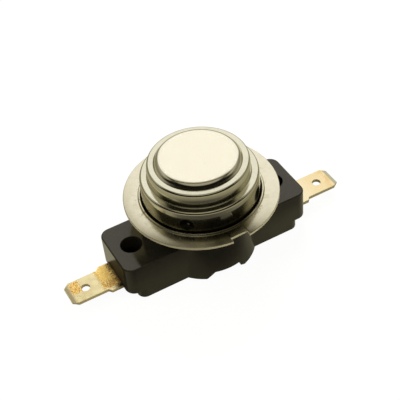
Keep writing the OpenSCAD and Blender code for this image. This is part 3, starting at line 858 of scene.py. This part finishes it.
def make_camera():
    """The photograph's view."""
    back = direction(CAMERA_AZIMUTH, CAMERA_ELEVATION)
    level = Vector((0, 0, 1)).cross(back).normalized()
    right = Matrix.Rotation(CAMERA_ROLL, 3, back) @ level
    up = back.cross(right)
    data = bpy.data.cameras.new("camera")
    data.sensor_width = SENSOR
    data.lens = LENS
    data.clip_start = CLIP_START
    camera = bpy.data.objects.new("camera", data)
    place = Vector((0, 0, EAR_TOP)) + right * AIM_RIGHT + up * AIM_UP + back * CAMERA_DISTANCE
    camera.matrix_world = Matrix.Translation(place) @ Matrix((right, up, back)).transposed().to_4x4()
    bpy.context.scene.collection.objects.link(camera)
    bpy.context.scene.camera = camera


def floor_material():
    """Paper that is white to the eye. Reflections see it dimmer, and dark in front of the part's left."""
    s = Shader("floor")
    path = s.node("ShaderNodeLightPath").outputs
    mirrored = s.most(path["Is Glossy Ray"], path["Is Transmission Ray"])
    shade = s.ramp(s.away(FLOOR_SHADE_AT), *FLOOR_SHADE, 0.0, FLOOR_MIRROR)
    front = s.times(s.ramp(s.x, *FLOOR_RIGHT, *FLOOR_FRONT_LEVELS), s.ramp(s.y, *FLOOR_FRONT))
    near = s.times(s.most(s.ramp(s.y, *FLOOR_NEAR), front),
                   s.ramp(s.radius(), *FLOOR_NEAR_END, 0.0, FLOOR_NEAR_LEVEL))
    glow = s.most(s.times(path["Is Camera Ray"], FLOOR_GLOW), s.times(mirrored, s.most(shade, near)))
    return s.finish(Base_Color=FLOOR_COLOUR, Roughness=1.0, Specular_IOR_Level=0.0,
                    Emission_Color=s.mix(path["Is Camera Ray"], WARM, WHITE), Emission_Strength=glow)


def make_floor():
    """A plain floor under the part."""
    half = FLOOR_SIZE / 2
    corners = [(-half, -half, 0), (half, -half, 0), (half, half, 0), (-half, half, 0)]
    mesh = bpy.data.meshes.new("floor")
    mesh.from_pydata(corners, [], [(0, 1, 2, 3)])
    mesh.materials.append(floor_material())
    plane = bpy.data.objects.new("floor", mesh)
    bpy.context.scene.collection.objects.link(plane)


def make_surroundings():
    """White to the eye. As light and in reflections: a window behind, dim sides and ceiling, a dark front."""
    world = bpy.data.worlds.new("studio")
    world.use_nodes = True
    n = Nodes(world.node_tree)
    way = n.node("ShaderNodeTexCoord").outputs["Generated"]
    height = n.node("ShaderNodeSeparateXYZ", {"Vector": way}).outputs["Z"]
    level = n.vector("NORMALIZE", n.vector("MULTIPLY", way, (1.0, 1.0, 0.0)))
    window = n.ramp(n.vector("DOT_PRODUCT", level, direction(WINDOW_AZIMUTH, 0)), *WINDOW_FADE)
    window = n.times(window, n.ramp(height, *WINDOW_FOOT))
    side = n.ramp(n.vector("DOT_PRODUCT", level, direction(SIDE_AZIMUTH, 0)), *SIDE_FADE, DIM, SIDE_LEVEL)
    side = n.times(side, n.ramp(height, *SIDE_FOOT, SIDE_LOW, 1.0))
    around = n.times(n.most(window, side), n.ramp(height, *WINDOW_TOP, DIM, 1.0))
    ceiling = n.ramp(height, *CEILING_FADE, DIM, CEILING_LEVEL)
    horizon = n.ramp(height, *HORIZON_FADE, DIM, HORIZON_LEVEL)
    lit = n.most(around, ceiling, horizon, n.node("ShaderNodeLightPath").outputs["Is Camera Ray"])
    background = n.tree.nodes["Background"].inputs
    n.feed(background["Color"], n.mix(lit, WARM, WHITE))
    n.feed(background["Strength"], lit)
    bpy.context.scene.world = world


def make_lamp(name, azimuth, elevation, size, power):
    """Soft round light that shows in no reflection."""
    data = bpy.data.lights.new(name, "AREA")
    data.shape = "DISK"
    data.size = size
    data.energy = power
    data.color = LAMP_COLOUR
    lamp = bpy.data.objects.new(name, data)
    way = direction(azimuth, elevation)
    lamp.location = way * LAMP_DISTANCE
    lamp.rotation_euler = way.to_track_quat("Z", "Y").to_euler()
    lamp.visible_glossy = False
    lamp.visible_camera = False
    bpy.context.scene.collection.objects.link(lamp)


def make_studio():
    """Floor, surroundings and lamps."""
    make_floor()
    make_surroundings()
    make_lamp("key", *KEY)
    make_lamp("fill", *FILL)
    make_lamp("left", *LEFT)
    bpy.context.scene.view_settings.view_transform = "Standard"


def make_pieces(moulding):
    """The pieces that stand for CAD nodes."""
    made = (
        (make_cup(cup_material()), "cup", "cup_steel"),
        (make_flange(flange_material()), "flange_ring", "flange_steel"),
        (make_housing(moulding), "housing", "moulding"),
        (make_blade("left_terminal", "left_blade", stained_tab_material()), "left_terminal", "stained_tab"),
        (make_blade("right_terminal", "right_blade", clean_tab_material()), "right_terminal", "clean_tab"))
    for piece, node, slot in made:
        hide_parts(node)


def main():
    """Builds the scene."""
    make_camera()
    make_studio()
    moulding = moulding_material()
    make_pieces(moulding)
    dress_inner_nodes(moulding)


main()
